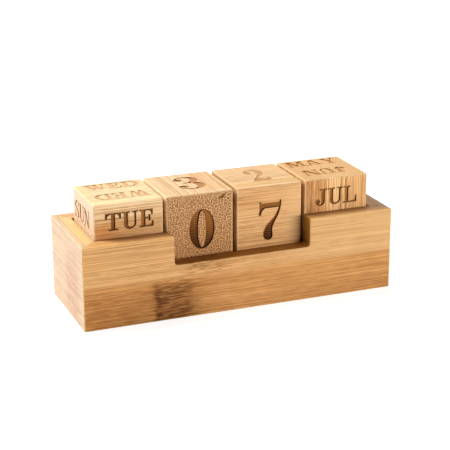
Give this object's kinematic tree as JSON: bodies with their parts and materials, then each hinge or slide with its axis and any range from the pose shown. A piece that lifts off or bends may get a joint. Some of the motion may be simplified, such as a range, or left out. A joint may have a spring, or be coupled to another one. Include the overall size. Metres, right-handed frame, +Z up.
{
  "type": "perpetual desk calendar",
  "caption": "Bamboo holder of mitred boards with engraved cubes in its pocket that lift out and turn to show weekday, date and month.",
  "frame": {"origin": "centre of the holder's footprint, on the surface it stands on", "axes": "+X along the row of cubes, to the right as the date is read; -Y out of the front; +Z up"},
  "size_m": [0.164, 0.0554, 0.06],
  "materials": {
    "holder_bamboo": "carbonised bamboo strip, sanded, clear matt lacquer",
    "floor_bamboo": "carbonised bamboo strip, sanded, unlacquered",
    "cube_bamboo": "carbonised bamboo strip, sanded, laser-burnt lettering"
  },
  "bodies": {
    "holder": {"front_board": "holder_bamboo", "back_board": "holder_bamboo", "left_end_board": "holder_bamboo", "right_end_board": "holder_bamboo", "floor_board": "floor_bamboo", "base_board": "floor_bamboo"},
    "weekday": {"weekday_cube": "cube_bamboo"},
    "tens": {"tens_cube": "cube_bamboo"},
    "units": {"units_cube": "cube_bamboo"},
    "month": {"month_cube": "cube_bamboo"}
  },
  "joints": [
    {"name": "weekday_lift", "type": "slide", "parent": "holder", "child": "weekday", "axis": [0, 0, 1], "range_m": [0, 0.04]},
    {"name": "tens_lift", "type": "slide", "parent": "holder", "child": "tens", "axis": [0, 0, 1], "range_m": [0, 0.04]},
    {"name": "units_lift", "type": "slide", "parent": "holder", "child": "units", "axis": [0, 0, 1], "range_m": [0, 0.04]},
    {"name": "month_lift", "type": "slide", "parent": "holder", "child": "month", "axis": [0, 0, 1], "range_m": [0, 0.04]}
  ]
}
